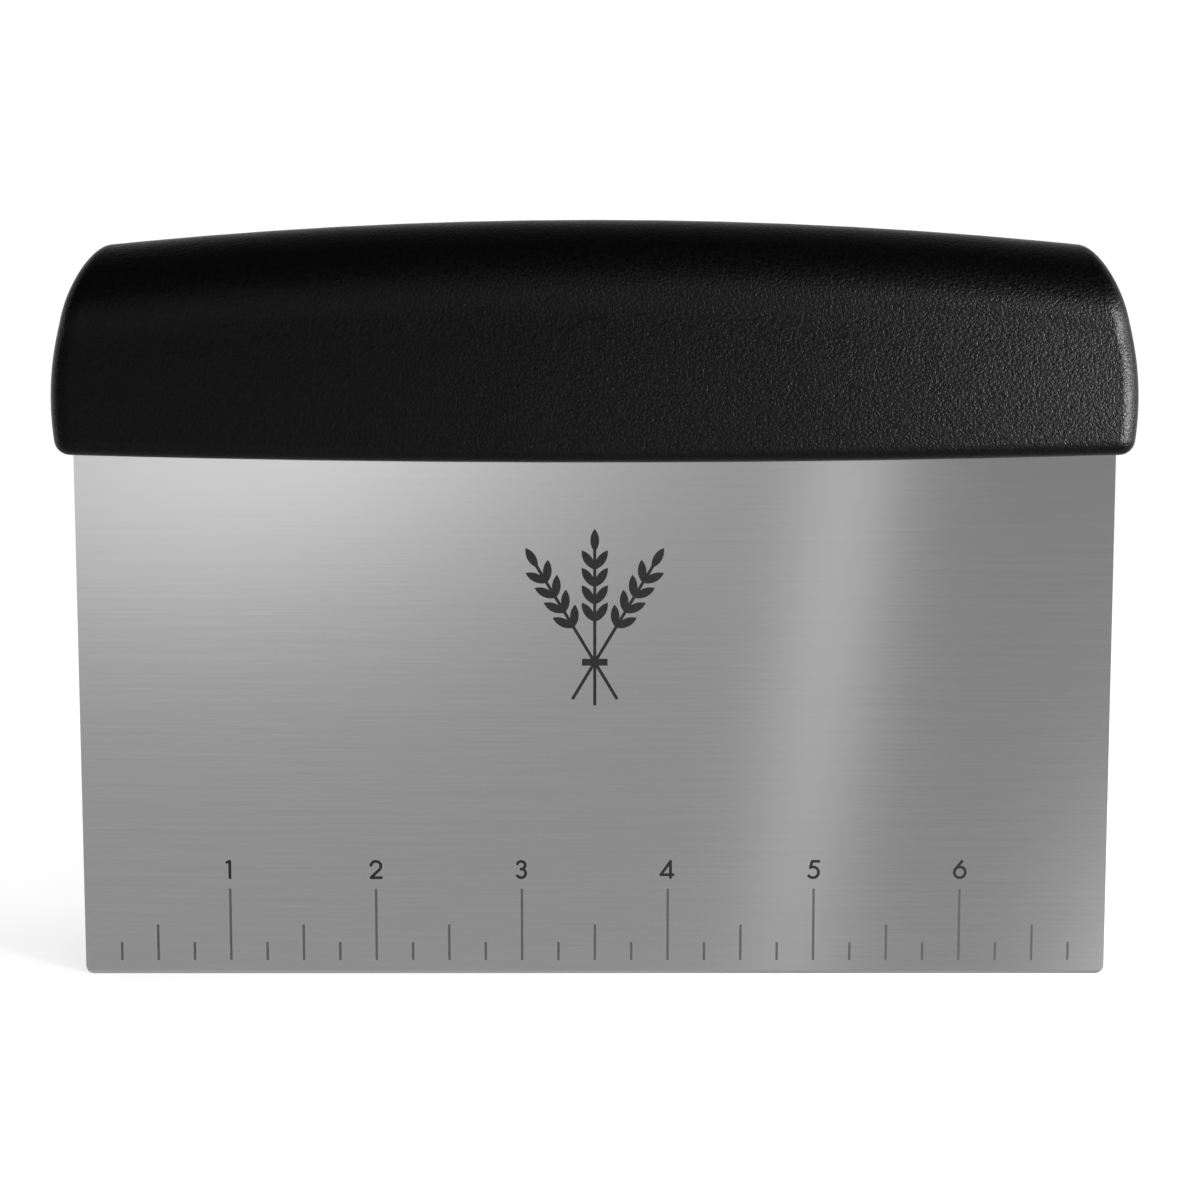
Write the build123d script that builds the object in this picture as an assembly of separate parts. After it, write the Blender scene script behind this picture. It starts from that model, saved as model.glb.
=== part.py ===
from build123d import *

import math
import os

# Bench scraper: a stainless blade whose tang is moulded into a black plastic handle.
# It stands on its working edge, with the origin at the middle of that edge.
# +X runs along the edge, -Y is the side that carries the ruler, and +Z runs up to the handle.
# All sizes are in millimetres and all angles in degrees.

# Blade
BLADE_WIDTH = 177.8
BLADE_REACH = 89.4            # from the working edge up to the middle of the handle's lip
BLADE_THICKNESS = 1.0
BLADE_CORNER_RADIUS = 1.6
EDGE_LAND = 0.5               # thickness left along the working edge
EDGE_BEVEL_HEIGHT = 0.6       # how far the ground bevels climb the two faces

# Tang: the narrower part of the blade inside the handle
TANG_SHOULDER = 5.0           # length of full-width blade that enters the handle
TANG_DEPTH = 26.0             # from the lip to the top of the tang
TANG_SIDE_STEP = 7.0          # how much narrower the tang is at each side
TANG_CORNER_RADIUS = 5.0
ANCHOR_HOLE_DIAMETER = 9.0
ANCHOR_HOLE_COUNT = 5
ANCHOR_HOLE_PITCH = 34.0

# Handle
HANDLE_OVERHANG = 1.9         # how far the handle reaches past each side of the blade
HANDLE_HEIGHT = 40.7          # from the middle of the lip to the middle of the crest
CROWN_RADIUS = 11.0           # half of the handle's greatest thickness
CROWN_WRAP = 14.0             # how far the crown's curve carries on below its widest line
DIP_RADIUS = 12.0             # shallow hollow between the crown and the side
DIP_SLOPE = 1.5               # slope of each side where it leaves the hollow
BELLY_RADIUS = 230.0          # each side curves in towards the blade from there
CREST_HALF_SPAN = 76.0        # the crest falls by CREST_DROP over this distance from its middle
CREST_DROP = 3.55
LIP_DROP = 1.3                # the middle of the lip hangs this much below its ends
END_RADIUS = 51.5             # long curve of each end, seen from the front
END_BULGE_HEIGHT = 9.0        # the handle is longest this far above the lip
END_ROUND = 3.2               # rounding where the ends meet the sides and the crown
LIP_ROUND = 2.6               # rounding all round the lip

# Ruler, counted from the left side of the blade
INCH = 25.4
DIVISIONS_PER_INCH = 4
LINE_WIDTH = 0.42
LINE_FOOT = 2.45              # from the working edge to the lower ends of the lines
INCH_LINE_LENGTH = 12.7
HALF_INCH_LINE_LENGTH = 6.35
QUARTER_INCH_LINE_LENGTH = 3.2
RULER_END_CLEARANCE = 3.0     # no line comes nearer than this to the blade's right side
NUMERAL_HEIGHT = 3.4
NUMERAL_STROKE = 0.5
NUMERAL_GAP = 1.7             # from the top of an inch line to the foot of its numeral
DIGIT_ADVANCE = 2.7           # from one digit to the next in a two-digit numeral

# Wheat mark: a tied sheaf of three ears in the middle of the blade
TIE_HEIGHT = 54.9             # from the working edge to the tie
TIE_WIDTH = 4.4
TIE_THICKNESS = 1.2
EAR_COUNT = 3
EAR_FAN = 31.0                # angle between neighbouring ears
STRAW_WIDTH = 0.55
STRAW_LENGTH = 7.0            # from the tie to the lowest kernels
STRAW_FOOT = 7.5              # from the tie to the cut ends of the straws
KERNEL_PAIRS = 4
KERNEL_SPACING = 3.0
KERNEL_LENGTH = 4.0
KERNEL_WIDTH = 1.5
KERNEL_TILT = 34.0            # angle between a side kernel and its straw

# The marks are etched into the front face and filled level with it
ETCH_DEPTH = 0.1

# Spare length of a shape that runs right through another one
CUT_MARGIN = 5.0

# Points that guide each of the two stretches of the handle's side
SIDE_STEPS = 8

LIP_HEIGHT = BLADE_REACH
TANG_TOP = LIP_HEIGHT + TANG_DEPTH
CREST_HEIGHT = LIP_HEIGHT + HANDLE_HEIGHT
HANDLE_WIDTH = BLADE_WIDTH + 2 * HANDLE_OVERHANG
FRONT_FACE = Plane(origin=(0, -BLADE_THICKNESS / 2, 0), x_dir=(1, 0, 0), z_dir=(0, -1, 0))


def arc_radius(half_chord, rise):
    """Radius of the arc that rises by this much over this half chord."""
    return (half_chord**2 + rise**2) / (2 * rise)


def heading(angle):
    """Unit vector at this angle from a sketch's first axis."""
    return Vector(math.cos(math.radians(angle)), math.sin(math.radians(angle)))


# Blade


def anchor_holes():
    """A row of holes half way up the tang, which the handle's plastic flows through."""
    height = LIP_HEIGHT + (TANG_SHOULDER + TANG_DEPTH) / 2
    holes = Sketch()
    for index in range(ANCHOR_HOLE_COUNT):
        offset = (index - (ANCHOR_HOLE_COUNT - 1) / 2) * ANCHOR_HOLE_PITCH
        holes += Pos(offset, height) * Circle(ANCHOR_HOLE_DIAMETER / 2)
    return holes


def blade_outline():
    """The punched sheet seen from the front."""
    shoulder = LIP_HEIGHT + TANG_SHOULDER
    sheet = Pos(0, shoulder / 2) * Rectangle(BLADE_WIDTH, shoulder)
    sheet = fillet(sheet.vertices().group_by(Axis.Y)[0], BLADE_CORNER_RADIUS)
    tang = Pos(0, TANG_TOP / 2) * Rectangle(BLADE_WIDTH - 2 * TANG_SIDE_STEP, TANG_TOP)
    tang = fillet(tang.vertices().group_by(Axis.Y)[-1], TANG_CORNER_RADIUS)
    lower_part = Pos(0, LIP_HEIGHT / 2) * Rectangle(BLADE_WIDTH, LIP_HEIGHT)
    return sheet + (tang - lower_part) - anchor_holes()


def blade_section():
    """The sheet seen from its side, with a ground bevel on both faces of the working edge."""
    half_land = EDGE_LAND / 2
    half_sheet = BLADE_THICKNESS / 2
    corners = [
        (-half_land, 0),
        (half_land, 0),
        (half_sheet, EDGE_BEVEL_HEIGHT),
        (half_sheet, TANG_TOP),
        (-half_sheet, TANG_TOP),
        (-half_sheet, EDGE_BEVEL_HEIGHT),
    ]
    return make_face(Polyline(corners, close=True))


def plain_blade():
    """The blade before its marks are etched."""
    sheet = extrude(Plane.XZ * blade_outline(), BLADE_THICKNESS, both=True)
    section = extrude(Plane.YZ * blade_section(), BLADE_WIDTH, both=True)
    return sheet & section


# Handle


def handle_side(crown_centre, foot_height):
    """The hollow below the crown and the bellied side under it, as one smooth curve."""
    dip_centre = crown_centre + heading(-CROWN_WRAP) * (CROWN_RADIUS + DIP_RADIUS)
    belly_centre = dip_centre + heading(180 - DIP_SLOPE) * (DIP_RADIUS + BELLY_RADIUS)
    foot_slope = math.degrees(math.asin((belly_centre.Y - foot_height) / BELLY_RADIUS))
    points = []
    for step in range(SIDE_STEPS):
        slope = CROWN_WRAP + (DIP_SLOPE - CROWN_WRAP) * step / SIDE_STEPS
        points.append(dip_centre + heading(180 - slope) * DIP_RADIUS)
    for step in range(SIDE_STEPS + 1):
        slope = DIP_SLOPE + (foot_slope - DIP_SLOPE) * step / SIDE_STEPS
        points.append(belly_centre + heading(-slope) * BELLY_RADIUS)
    return Spline(*points, tangents=[heading(-90 - CROWN_WRAP), heading(-90 - foot_slope)])


def handle_section():
    """Section across the handle at its middle: crown, shallow dips and bellied sides."""
    crown_centre = Vector(0, CREST_HEIGHT - CROWN_RADIUS)
    crown = CenterArc(crown_centre, CROWN_RADIUS, -CROWN_WRAP, 90 + CROWN_WRAP)
    foot_height = LIP_HEIGHT - CUT_MARGIN
    side = handle_side(crown_centre, foot_height)
    base = Line(side @ 1, (0, foot_height))
    middle = Line((0, foot_height), (0, CREST_HEIGHT))
    half = make_face([crown, side, base, middle])
    return half + mirror(half, Plane.YZ)


def handle_bar():
    """The section carried along the arch of the crest, longer than the handle."""
    crest_radius = arc_radius(CREST_HALF_SPAN, CREST_DROP)
    arch_axis = Axis((0, 0, CREST_HEIGHT - crest_radius), (0, 1, 0))
    half_turn = math.degrees((HANDLE_WIDTH / 2 + CUT_MARGIN) / crest_radius)
    bar = revolve(Plane.YZ * handle_section(), arch_axis, 2 * half_turn)
    return bar.rotate(arch_axis, -half_turn)


def handle_outline():
    """Bulged ends and drooping lip, seen from the front. Its top is above the crest."""
    bulge_height = LIP_HEIGHT + END_BULGE_HEIGHT
    ends = SlotCenterToCenter(HANDLE_WIDTH - 2 * END_RADIUS, 2 * END_RADIUS)
    lip_radius = arc_radius(BLADE_WIDTH / 2, LIP_DROP)
    lip = Pos(0, LIP_HEIGHT + lip_radius) * Circle(lip_radius)
    return Pos(0, bulge_height) * ends & lip


def handle_solid():
    """The moulding's outer shape, rounded and still without the space for the tang."""
    outline = extrude(Plane.XZ * handle_outline(), 2 * CROWN_RADIUS, both=True)
    handle = handle_bar() & outline
    ends = [handle.faces().sort_by(Axis.X)[0], handle.faces().sort_by(Axis.X)[-1]]
    end_edges = [edge for end in ends for edge in end.edges().sort_by(Axis.Z)[1:]]
    handle = fillet(end_edges, END_ROUND)
    lip = handle.faces().sort_by(Axis.Z)[0]
    return fillet(lip.edges(), LIP_ROUND)


# Marks


def etch(sketch):
    """Fill of a recess in the blade's front face, drawn as seen from the front."""
    return extrude(FRONT_FACE * sketch, -ETCH_DEPTH)


def ruler_place(division):
    """Distance of a ruler line from the blade's middle."""
    return division * INCH / DIVISIONS_PER_INCH - BLADE_WIDTH / 2


def ruler_divisions():
    """The divisions that fit on the blade, without the zero at its left side."""
    usable = BLADE_WIDTH - RULER_END_CLEARANCE
    return range(1, int(usable * DIVISIONS_PER_INCH / INCH) + 1)


def ruler_lines(step, coarser_step, length):
    """The lines at each step, without those that a coarser step already marks."""
    lines = Sketch()
    for division in ruler_divisions():
        if division % step == 0 and division % coarser_step != 0:
            line = Rectangle(LINE_WIDTH, length)
            lines += Pos(ruler_place(division), LINE_FOOT + length / 2) * line
    return lines


def digit_strokes(digit):
    """Centre lines of one digit whose centre lines are 1 high."""
    return {
        "0": [
            CenterArc((0, 0.7), 0.3, 0, 180),
            CenterArc((0, 0.3), 0.3, 180, 180),
            Line((-0.3, 0.3), (-0.3, 0.7)),
            Line((0.3, 0.3), (0.3, 0.7)),
        ],
        "1": [Line((0, 0), (0, 1)), Line((0, 1), (-0.17, 0.94))],
        "2": [
            CenterArc((0, 0.7), 0.3, -45, 215),
            Line((0.21, 0.49), (-0.3, 0)),
            Line((-0.3, 0), (0.32, 0)),
        ],
        "3": [CenterArc((-0.04, 0.76), 0.24, -90, 250), CenterArc((-0.04, 0.27), 0.27, -145, 235)],
        "4": [
            Line((0.16, 0), (0.16, 1)),
            Line((0.16, 1), (-0.42, 0.18)),
            Line((-0.42, 0.18), (0.32, 0.18)),
        ],
        "5": [
            Line((0.3, 1), (-0.1, 1)),
            Line((-0.1, 1), (-0.21, 0.62)),
            CenterArc((-0.05, 0.33), 0.33, -140, 259),
        ],
        "6": [
            CenterArc((0, 0.33), 0.33, 0, 180),
            CenterArc((0, 0.33), 0.33, 180, 180),
            Line((0.12, 1), (-0.26, 0.53)),
        ],
        "7": [Line((-0.3, 1), (0.3, 1)), Line((0.3, 1), (-0.1, 0))],
        "8": [
            CenterArc((0, 0.76), 0.24, 0, 180),
            CenterArc((0, 0.76), 0.24, 180, 180),
            CenterArc((0, 0.28), 0.28, 0, 180),
            CenterArc((0, 0.28), 0.28, 180, 180),
        ],
        "9": [
            CenterArc((0, 0.67), 0.33, 0, 180),
            CenterArc((0, 0.67), 0.33, 180, 180),
            Line((-0.12, 0), (0.26, 0.47)),
        ],
    }[digit]


def digit_face(digit):
    """One digit drawn with a round pen, standing on the line through the origin."""
    face = Sketch()
    for stroke in digit_strokes(digit):
        face += SlotArc(stroke.scale(NUMERAL_HEIGHT - NUMERAL_STROKE), NUMERAL_STROKE)
    return Pos(0, NUMERAL_STROKE / 2) * face


def numerals():
    """A numeral above each inch line."""
    foot = LINE_FOOT + INCH_LINE_LENGTH + NUMERAL_GAP
    faces = Sketch()
    for division in ruler_divisions():
        if division % DIVISIONS_PER_INCH == 0:
            text = str(division // DIVISIONS_PER_INCH)
            for index, digit in enumerate(text):
                shift = (index - (len(text) - 1) / 2) * DIGIT_ADVANCE
                faces += Pos(ruler_place(division) + shift, foot) * digit_face(digit)
    return faces


def kernel():
    """One pointed kernel, standing on the origin."""
    half_width = KERNEL_WIDTH / 2
    half_length = KERNEL_LENGTH / 2
    right = ThreePointArc((0, 0), (half_width, half_length), (0, KERNEL_LENGTH))
    left = ThreePointArc((0, 0), (-half_width, half_length), (0, KERNEL_LENGTH))
    return make_face([right, left])


def wheat_ear():
    """A straw with paired kernels and one at its tip, with the tie at the origin."""
    ear_length = STRAW_LENGTH + KERNEL_PAIRS * KERNEL_SPACING
    straw_top = ear_length + KERNEL_LENGTH / 2
    straw = Pos(0, (straw_top - STRAW_FOOT) / 2) * Rectangle(STRAW_WIDTH, straw_top + STRAW_FOOT)
    ear = straw + Pos(0, ear_length) * kernel()
    for pair in range(KERNEL_PAIRS):
        height = STRAW_LENGTH + pair * KERNEL_SPACING
        for tilt in (KERNEL_TILT, -KERNEL_TILT):
            ear += Pos(0, height) * Rot(0, 0, tilt) * kernel()
    return ear


def wheat_mark():
    """A fan of wheat ears held by a tie."""
    sheaf = Rectangle(TIE_WIDTH, TIE_THICKNESS)
    for index in range(EAR_COUNT):
        lean = (index - (EAR_COUNT - 1) / 2) * EAR_FAN
        sheaf += Rot(0, 0, lean) * wheat_ear()
    return Pos(0, TIE_HEIGHT) * sheaf


# Assembly


def build_nodes():
    """Every piece and every mark, by node name."""
    whole = DIVISIONS_PER_INCH
    half = DIVISIONS_PER_INCH // 2
    beyond_ruler = len(ruler_divisions()) + 1
    marks = {
        "inch_lines": etch(ruler_lines(whole, beyond_ruler, INCH_LINE_LENGTH)),
        "half_inch_lines": etch(ruler_lines(half, whole, HALF_INCH_LINE_LENGTH)),
        "quarter_inch_lines": etch(ruler_lines(1, half, QUARTER_INCH_LINE_LENGTH)),
        "ruler_numerals": etch(numerals()),
        "wheat_mark": etch(wheat_mark()),
    }
    blade = plain_blade()
    handle = handle_solid() - blade
    for mark in marks.values():
        blade -= mark
    return {"blade": blade, "handle": handle, **marks}


os.makedirs("parts", exist_ok=True)
for node, shape in build_nodes().items():
    export_step(shape, f"parts/{node}.step")
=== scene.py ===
import math

import bpy
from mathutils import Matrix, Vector


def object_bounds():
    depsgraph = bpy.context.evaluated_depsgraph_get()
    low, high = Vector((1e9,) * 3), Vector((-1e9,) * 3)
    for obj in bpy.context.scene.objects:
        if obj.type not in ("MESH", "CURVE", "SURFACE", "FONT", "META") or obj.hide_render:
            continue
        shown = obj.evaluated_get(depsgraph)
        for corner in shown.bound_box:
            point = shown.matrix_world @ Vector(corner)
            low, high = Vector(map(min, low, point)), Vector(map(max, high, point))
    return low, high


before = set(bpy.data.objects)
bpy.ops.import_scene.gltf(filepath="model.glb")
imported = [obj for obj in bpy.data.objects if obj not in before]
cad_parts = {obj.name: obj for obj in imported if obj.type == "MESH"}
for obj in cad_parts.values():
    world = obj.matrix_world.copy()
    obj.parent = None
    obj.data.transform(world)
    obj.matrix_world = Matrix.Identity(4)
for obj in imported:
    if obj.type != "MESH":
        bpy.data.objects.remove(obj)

CAD_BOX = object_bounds()
MM = 0.001
PLAIN_WHITE = (1.0, 1.0, 1.0, 1.0)

# Camera, in the frame of the scraper: it looks along +Y at the face with the ruler
CAMERA_DISTANCE = 347.6 * MM
CAMERA_SIDE = 0.9 * MM
CAMERA_HEIGHT = 99.7 * MM
CAMERA_PITCH = 5.6
LENS = 60.93
SENSOR = 36.0

# Noise lies mostly between these two values, so ramps over noise start and end there
NOISE_LOW = 0.3
NOISE_HIGH = 0.7

# Floor and softboxes, in metres. The studio's white is a little over 1, so that it renders as white.
FLOOR_HALF_SIZE = 4.0
STUDIO_WHITE = 1.05
SOFTBOX_TARGET = (0.0, 0.0, 0.07)

# The slope of a direction from the front is across or up, divided by how far it points to -Y.
# This is the least value that may divide, so that directions to the side stay finite.
LEAST_FRONT = 0.05

# Soft bright patches that the blade reflects: centre, reach, strength and lean, by slope
SPOTS = (
    ((-0.17, 0.0), (0.18, 0.075), 0.95, 0.55),
    ((-0.25, -0.1), (0.2, 0.10), 0.04),
    ((0.124, -0.03), (0.02, 0.27), 0.48, 0.12),
    ((0.31, -0.33), (0.06, 0.09), 0.8),
    ((0.40, -0.70), (0.7, 0.2), 0.8),
)


# ---------------------------------------------------------------- node helpers


def tree_of(owner):
    """Empties the node tree of a material or world and returns it."""
    owner.use_nodes = True
    owner.node_tree.nodes.clear()
    return owner.node_tree


def add(tree, kind, inputs=None, **settings):
    """Adds a node. An input is either a value or the output of another node."""
    node = tree.nodes.new(kind)
    for name, value in settings.items():
        setattr(node, name, value)
    for name, value in (inputs or {}).items():
        if isinstance(value, bpy.types.NodeSocket):
            tree.links.new(value, node.inputs[name])
        else:
            node.inputs[name].default_value = value
    return node


def maths(tree, operation, *values):
    """Result of a Math node."""
    inputs = dict(enumerate(values))
    return add(tree, "ShaderNodeMath", inputs, operation=operation).outputs[0]


def ramp(tree, value, low, high, out_low, out_high):
    """Carries a value smoothly from one range to another, and stops at both ends."""
    inputs = {"Value": value, "From Min": low, "From Max": high, "To Min": out_low, "To Max": out_high}
    return add(tree, "ShaderNodeMapRange", inputs, interpolation_type="SMOOTHSTEP").outputs["Result"]


def noise_ramp(tree, value, out_low, out_high):
    """Carries a noise value to another range."""
    return ramp(tree, value, NOISE_LOW, NOISE_HIGH, out_low, out_high)


def grey(tree, value):
    """A grey colour from one number."""
    inputs = {"Red": value, "Green": value, "Blue": value}
    return add(tree, "ShaderNodeCombineColor", inputs).outputs["Color"]


def noise(tree, place, scale, detail=2.0, roughness=0.5):
    """Noise at a place that may be stretched first by a scale along each axis."""
    stretched = add(tree, "ShaderNodeVectorMath", {0: place, 1: scale}, operation="MULTIPLY").outputs[0]
    inputs = {"Vector": stretched, "Scale": 1.0, "Detail": detail, "Roughness": roughness}
    return add(tree, "ShaderNodeTexNoise", inputs).outputs["Fac"]


def object_place(tree):
    """Place on the object, in metres of the shared frame."""
    return add(tree, "ShaderNodeTexCoord").outputs["Object"]


def finish_material(tree, shader):
    """Sends the shader to the material's output."""
    add(tree, "ShaderNodeOutputMaterial", {"Surface": shader.outputs[0]})


# ---------------------------------------------------------------- materials


def brushed_steel():
    """Satin stainless steel, brushed along the blade's width."""
    material = bpy.data.materials.new("blade_steel_look")
    tree = tree_of(material)
    place = object_place(tree)
    hairlines = noise(tree, place, (60.0, 3000.0, 9000.0), 2.0, 0.6)
    streaks = noise(tree, place, (10.0, 500.0, 1300.0), 2.0)
    speckle = noise(tree, place, (5000.0, 5000.0, 5000.0), 1.0)
    clouds = noise(tree, place, (14.0, 14.0, 14.0), 2.0)
    fine = maths(tree, "MULTIPLY_ADD", hairlines, 0.7, maths(tree, "MULTIPLY", speckle, 0.3))
    streak_tone = noise_ramp(tree, streaks, -0.004, 0.004)
    tone = maths(tree, "ADD", noise_ramp(tree, fine, 0.68, 0.72), streak_tone)
    cloud_roughness = noise_ramp(tree, clouds, 0.0, 0.01)
    roughness = maths(tree, "ADD", noise_ramp(tree, fine, 0.125, 0.145), cloud_roughness)
    bump = add(tree, "ShaderNodeBump", {"Height": fine, "Strength": 0.015, "Distance": 0.01 * MM})
    tangent = add(tree, "ShaderNodeTangent", direction_type="RADIAL", axis="Z")
    shader = add(tree, "ShaderNodeBsdfPrincipled", {
        "Base Color": grey(tree, tone),
        "Metallic": 1.0,
        "Roughness": roughness,
        "Anisotropic": 0.7,
        "Anisotropic Rotation": 0.25,
        "Normal": bump.outputs["Normal"],
        "Tangent": tangent.outputs["Tangent"],
    })
    finish_material(tree, shader)
    return material


def grained_plastic():
    """Black polypropylene with a fine spark-eroded grain, which traps light and dulls the gloss."""
    material = bpy.data.materials.new("handle_plastic_look")
    tree = tree_of(material)
    place = object_place(tree)
    grain = noise(tree, place, (2100.0, 2100.0, 2100.0), 2.0, 0.6)
    bump = add(tree, "ShaderNodeBump", {"Height": grain, "Strength": 1.0, "Distance": 0.12 * MM})
    tone = noise_ramp(tree, grain, 0.0002, 0.0006)
    roughness = noise_ramp(tree, grain, 0.30, 0.40)
    shader = add(tree, "ShaderNodeBsdfPrincipled", {
        "Base Color": grey(tree, tone),
        "Roughness": roughness,
        "IOR": 1.49,
        "Specular IOR Level": 0.17,
        "Normal": bump.outputs["Normal"],
    })
    finish_material(tree, shader)
    return material


def etched(name, low, high):
    """Matt dark oxide left by an etch, a little uneven."""
    material = bpy.data.materials.new(name)
    tree = tree_of(material)
    mottle = noise(tree, object_place(tree), (2500.0, 2500.0, 2500.0), 2.0)
    shader = add(tree, "ShaderNodeBsdfPrincipled", {
        "Base Color": grey(tree, noise_ramp(tree, mottle, low, high)),
        "Roughness": noise_ramp(tree, mottle, 0.55, 0.7),
        "Specular IOR Level": 0.12,
    })
    finish_material(tree, shader)
    return material


def dress(material, *nodes):
    """Gives CAD nodes their material."""
    for node in nodes:
        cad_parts[node].material_slots[0].material = material


# ---------------------------------------------------------------- studio


def soft_spot(tree, across, up, centre, reach, strength, lean=0.0):
    """A soft-edged bright patch, placed by the slope of its direction from the front."""
    shift = maths(tree, "MULTIPLY_ADD", maths(tree, "SUBTRACT", up, centre[1]), -lean, across)
    side = maths(tree, "DIVIDE", maths(tree, "SUBTRACT", shift, centre[0]), reach[0])
    rise = maths(tree, "DIVIDE", maths(tree, "SUBTRACT", up, centre[1]), reach[1])
    squares = maths(tree, "MULTIPLY_ADD", rise, rise, maths(tree, "MULTIPLY", side, side))
    fade = maths(tree, "EXPONENT", maths(tree, "MULTIPLY", squares, -1.0))
    return maths(tree, "MULTIPLY", fade, strength)


def front_reflections(tree, across, up):
    """The dark studio in front: a pale table below, and a faint glow on the left."""
    table = ramp(tree, up, 0.0, 0.10, 0.30, 0.005)
    near_table = ramp(tree, up, -1.4, -0.3, 0.1, 0.0)
    left = ramp(tree, across, 0.10, 0.15, 0.05, 0.0)
    return maths(tree, "ADD", maths(tree, "ADD", table, near_table), left)


def back_reflections(tree, height):
    """The bright backdrop: brightest near the horizon and dimmer above and over the table."""
    above = ramp(tree, height, 0.0, 0.9, 1.25, 0.15)
    over_table = ramp(tree, height, -0.55, -0.02, 0.35, 1.0)
    return maths(tree, "MULTIPLY", above, over_table)


def reflections(tree):
    """What polished surfaces see of the studio, as a brightness for each direction."""
    direction = add(tree, "ShaderNodeTexCoord").outputs["Generated"]
    parts = add(tree, "ShaderNodeSeparateXYZ", {"Vector": direction}).outputs
    front = maths(tree, "MAXIMUM", maths(tree, "MULTIPLY", parts["Y"], -1.0), LEAST_FRONT)
    across = maths(tree, "DIVIDE", parts["X"], front)
    up = maths(tree, "DIVIDE", parts["Z"], front)
    share_behind = ramp(tree, parts["Y"], -0.1, 0.3, 0.0, 1.0)
    share_in_front = maths(tree, "SUBTRACT", 1.0, share_behind)
    behind = maths(tree, "MULTIPLY", share_behind, back_reflections(tree, parts["Z"]))
    in_front = maths(tree, "MULTIPLY", share_in_front, front_reflections(tree, across, up))
    total = maths(tree, "ADD", behind, in_front)
    for spot in SPOTS:
        total = maths(tree, "ADD", total, soft_spot(tree, across, up, *spot))
    return total


def light_world():
    """White to the camera and for soft light, and a studio with dark areas in reflections.

    The world's own light sampling ignores what kind of ray asks, so it is switched off.
    """
    world = bpy.data.worlds.new("studio")
    bpy.context.scene.world = world
    world.cycles.sampling_method = "NONE"
    tree = tree_of(world)
    path = add(tree, "ShaderNodeLightPath").outputs
    reflected = path["Is Glossy Ray"]
    not_reflected = maths(tree, "SUBTRACT", 1.0, reflected)
    studio = maths(tree, "MULTIPLY", reflected, reflections(tree))
    plain = maths(tree, "MULTIPLY", not_reflected, STUDIO_WHITE)
    strength = maths(tree, "ADD", studio, plain)
    background = add(tree, "ShaderNodeBackground", {"Color": PLAIN_WHITE, "Strength": strength})
    add(tree, "ShaderNodeOutputWorld", {"Surface": background.outputs[0]})


def floor():
    """Pale floor under the working edge."""
    half = FLOOR_HALF_SIZE
    mesh = bpy.data.meshes.new("floor")
    corners = [(-half, -half, 0.0), (half, -half, 0.0), (half, half, 0.0), (-half, half, 0.0)]
    mesh.from_pydata(corners, [], [(0, 1, 2, 3)])
    plane = bpy.data.objects.new("floor", mesh)
    bpy.context.scene.collection.objects.link(plane)
    plane.location.z = CAD_BOX[0][2]
    plane.visible_glossy = False
    material = bpy.data.materials.new("pale_floor")
    tree = tree_of(material)
    shader = add(tree, "ShaderNodeBsdfDiffuse", {"Color": (0.95, 0.95, 0.95, 1.0)})
    finish_material(tree, shader)
    mesh.materials.append(material)


def softbox(name, place, width, height, power):
    """A rectangular area light that faces the scraper. The camera doesn't see it."""
    light = bpy.data.lights.new(name, "AREA")
    light.shape = "RECTANGLE"
    light.size = width
    light.size_y = height
    light.energy = power
    box = bpy.data.objects.new(name, light)
    bpy.context.scene.collection.objects.link(box)
    box.location = place
    box.visible_camera = False
    aim = Vector(SOFTBOX_TARGET) - Vector(place)
    box.rotation_euler = aim.to_track_quat("-Z", "Y").to_euler()


def lights():
    """A tall softbox for the streak on the handle's right end, and a low one for its right half."""
    softbox("right_strip", (0.9, -0.15, 0.12), 0.12, 0.5, 5.2)
    softbox("low_right", (0.40, -0.33, 0.05), 0.2, 0.1, 6.3)


def camera():
    """The camera, at the photograph's angle."""
    data = bpy.data.cameras.new("camera")
    data.lens = LENS
    data.sensor_width = SENSOR
    eye = bpy.data.objects.new("camera", data)
    bpy.context.scene.collection.objects.link(eye)
    eye.location = (CAMERA_SIDE, -CAMERA_DISTANCE, CAMERA_HEIGHT)
    eye.rotation_euler = (math.radians(90.0 - CAMERA_PITCH), 0.0, 0.0)
    bpy.context.scene.camera = eye


# ---------------------------------------------------------------- scene

dress(brushed_steel(), "blade")
dress(grained_plastic(), "handle")
dress(etched("etched_line_look", 0.035, 0.045), "inch_lines", "half_inch_lines", "quarter_inch_lines")
dress(etched("etched_dark_look", 0.006, 0.01), "ruler_numerals", "wheat_mark")
light_world()
floor()
lights()
camera()
bpy.context.scene.view_settings.view_transform = "Standard"
